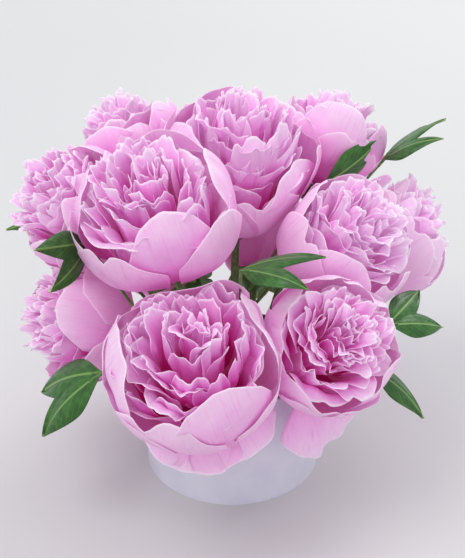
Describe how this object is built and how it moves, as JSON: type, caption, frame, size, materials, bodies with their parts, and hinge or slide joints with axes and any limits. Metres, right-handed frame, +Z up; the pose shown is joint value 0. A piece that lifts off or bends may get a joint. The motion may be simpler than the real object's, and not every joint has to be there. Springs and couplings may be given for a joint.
{
  "type": "flower box",
  "caption": "Low round board box with a lift-out liner and wet floral foam, holding a domed bouquet of double peonies and leaf sprigs on pull-out stems.",
  "frame": {"origin": "centre of the box's round bottom face, on the surface it stands on", "axes": "+Z up along the box axis, -Y towards the front of the arrangement, +X to the right seen from the front"},
  "size_m": [0.3234, 0.2892, 0.2585],
  "materials": {
    "box_paper": "smooth satin white paper over board",
    "liner_plastic": "thin clear-grey waterproof plastic",
    "floral_foam": "fine open-cell wet floral foam, dark green",
    "green_stem": "fresh green stem, satin, faintly ribbed",
    "sepal_green": "waxy green sepals with reddish edges",
    "guard_petal": "soft matte orchid-pink petal, paler at the edge, fine veins",
    "inner_petal": "ruffled pink petal, pale frilled edge, deep magenta at the base",
    "leaf_green": "satin dark green leaf with pale veins and paler underside"
  },
  "bodies": {
    "box": {"box_wall": "box_paper", "box_base": "box_paper"},
    "insert": {"liner": "liner_plastic", "floral_foam": "floral_foam"},
    "flower_front": {"stem_front": "green_stem", "calyx_front": "sepal_green", "guard_petals_front": "guard_petal", "inner_petals_front": "inner_petal"},
    "flower_front_right": {"stem_front_right": "green_stem", "calyx_front_right": "sepal_green", "guard_petals_front_right": "guard_petal", "inner_petals_front_right": "inner_petal"},
    "flower_upper_left": {"stem_upper_left": "green_stem", "calyx_upper_left": "sepal_green", "guard_petals_upper_left": "guard_petal", "inner_petals_upper_left": "inner_petal"},
    "flower_top": {"stem_top": "green_stem", "calyx_top": "sepal_green", "guard_petals_top": "guard_petal", "inner_petals_top": "inner_petal"},
    "flower_right": {"stem_right": "green_stem", "calyx_right": "sepal_green", "guard_petals_right": "guard_petal", "inner_petals_right": "inner_petal"},
    "flower_far_right": {"stem_far_right": "green_stem", "calyx_far_right": "sepal_green", "guard_petals_far_right": "guard_petal", "inner_petals_far_right": "inner_petal"},
    "flower_left_high": {"stem_left_high": "green_stem", "calyx_left_high": "sepal_green", "guard_petals_left_high": "guard_petal", "inner_petals_left_high": "inner_petal"},
    "flower_left_low": {"stem_left_low": "green_stem", "calyx_left_low": "sepal_green", "guard_petals_left_low": "guard_petal", "inner_petals_left_low": "inner_petal"},
    "flower_back_left_high": {"stem_back_left_high": "green_stem", "calyx_back_left_high": "sepal_green", "guard_petals_back_left_high": "guard_petal", "inner_petals_back_left_high": "inner_petal"},
    "flower_back_right_high": {"stem_back_right_high": "green_stem", "calyx_back_right_high": "sepal_green", "guard_petals_back_right_high": "guard_petal", "inner_petals_back_right_high": "inner_petal"},
    "flower_back_left_low": {"stem_back_left_low": "green_stem", "calyx_back_left_low": "sepal_green", "guard_petals_back_left_low": "guard_petal", "inner_petals_back_left_low": "inner_petal"},
    "flower_back_right_low": {"stem_back_right_low": "green_stem", "calyx_back_right_low": "sepal_green", "guard_petals_back_right_low": "guard_petal", "inner_petals_back_right_low": "inner_petal"},
    "sprig_top_right": {"leaf_sprig_top_right": "leaf_green"},
    "sprig_left": {"leaf_sprig_left": "leaf_green"},
    "sprig_left_low": {"leaf_sprig_left_low": "leaf_green"},
    "sprig_centre": {"leaf_sprig_centre": "leaf_green"},
    "sprig_right": {"leaf_sprig_right": "leaf_green"},
    "sprig_right_low": {"leaf_sprig_right_low": "leaf_green"},
    "sprig_back_right": {"leaf_sprig_back_right": "leaf_green"},
    "sprig_back_left": {"leaf_sprig_back_left": "leaf_green"}
  },
  "joints": [
    {"name": "insert_lift", "type": "slide", "parent": "box", "child": "insert", "axis": [0, 0, 1], "range_m": [0, 0.09]},
    {"name": "front_pull", "type": "slide", "parent": "insert", "child": "flower_front", "axis": [-0.0196, -0.9305, 0.3657], "range_m": [0, 0.041]},
    {"name": "front_right_pull", "type": "slide", "parent": "insert", "child": "flower_front_right", "axis": [0.6041, -0.5524, 0.5744], "range_m": [0, 0.04]},
    {"name": "upper_left_pull", "type": "slide", "parent": "insert", "child": "flower_upper_left", "axis": [-0.2925, -0.1337, 0.9469], "range_m": [0, 0.05]},
    {"name": "top_pull", "type": "slide", "parent": "insert", "child": "flower_top", "axis": [0.0308, 0.3456, 0.9379], "range_m": [0, 0.052]},
    {"name": "right_pull", "type": "slide", "parent": "insert", "child": "flower_right", "axis": [0.4968, 0.1691, 0.8512], "range_m": [0, 0.05]},
    {"name": "far_right_pull", "type": "slide", "parent": "insert", "child": "flower_far_right", "axis": [0.6633, 0.5834, 0.4687], "range_m": [0, 0.036]},
    {"name": "left_high_pull", "type": "slide", "parent": "insert", "child": "flower_left_high", "axis": [-0.5001, 0.2641, 0.8247], "range_m": [0, 0.049]},
    {"name": "left_low_pull", "type": "slide", "parent": "insert", "child": "flower_left_low", "axis": [-0.9243, 0.2624, 0.277], "range_m": [0, 0.045]},
    {"name": "back_left_high_pull", "type": "slide", "parent": "insert", "child": "flower_back_left_high", "axis": [-0.29, 0.3933, 0.8725], "range_m": [0, 0.054]},
    {"name": "back_right_high_pull", "type": "slide", "parent": "insert", "child": "flower_back_right_high", "axis": [0.3061, 0.4864, 0.8184], "range_m": [0, 0.057]},
    {"name": "back_left_low_pull", "type": "slide", "parent": "insert", "child": "flower_back_left_low", "axis": [-0.366, 0.771, 0.5211], "range_m": [0, 0.033]},
    {"name": "back_right_low_pull", "type": "slide", "parent": "insert", "child": "flower_back_right_low", "axis": [0.0551, 0.7945, 0.6048], "range_m": [0, 0.032]},
    {"name": "top_right_sprig_pull", "type": "slide", "parent": "insert", "child": "sprig_top_right", "axis": [0.5596, 0.2147, 0.8004], "range_m": [0, 0.032]},
    {"name": "left_sprig_pull", "type": "slide", "parent": "insert", "child": "sprig_left", "axis": [-0.466, -0.1271, 0.8756], "range_m": [0, 0.034]},
    {"name": "left_low_sprig_pull", "type": "slide", "parent": "insert", "child": "sprig_left_low", "axis": [-0.7989, -0.4058, 0.4439], "range_m": [0, 0.024]},
    {"name": "centre_sprig_pull", "type": "slide", "parent": "insert", "child": "sprig_centre", "axis": [-0.0076, -0.3503, 0.9366], "range_m": [0, 0.032]},
    {"name": "right_sprig_pull", "type": "slide", "parent": "insert", "child": "sprig_right", "axis": [0.7866, -0.1896, 0.5876], "range_m": [0, 0.037]},
    {"name": "right_low_sprig_pull", "type": "slide", "parent": "insert", "child": "sprig_right_low", "axis": [0.8018, -0.5011, 0.3257], "range_m": [0, 0.036]},
    {"name": "back_right_sprig_pull", "type": "slide", "parent": "insert", "child": "sprig_back_right", "axis": [0.6661, 0.3845, 0.6391], "range_m": [0, 0.03]},
    {"name": "back_left_sprig_pull", "type": "slide", "parent": "insert", "child": "sprig_back_left", "axis": [-0.6471, 0.3472, 0.6787], "range_m": [0, 0.031]}
  ]
}
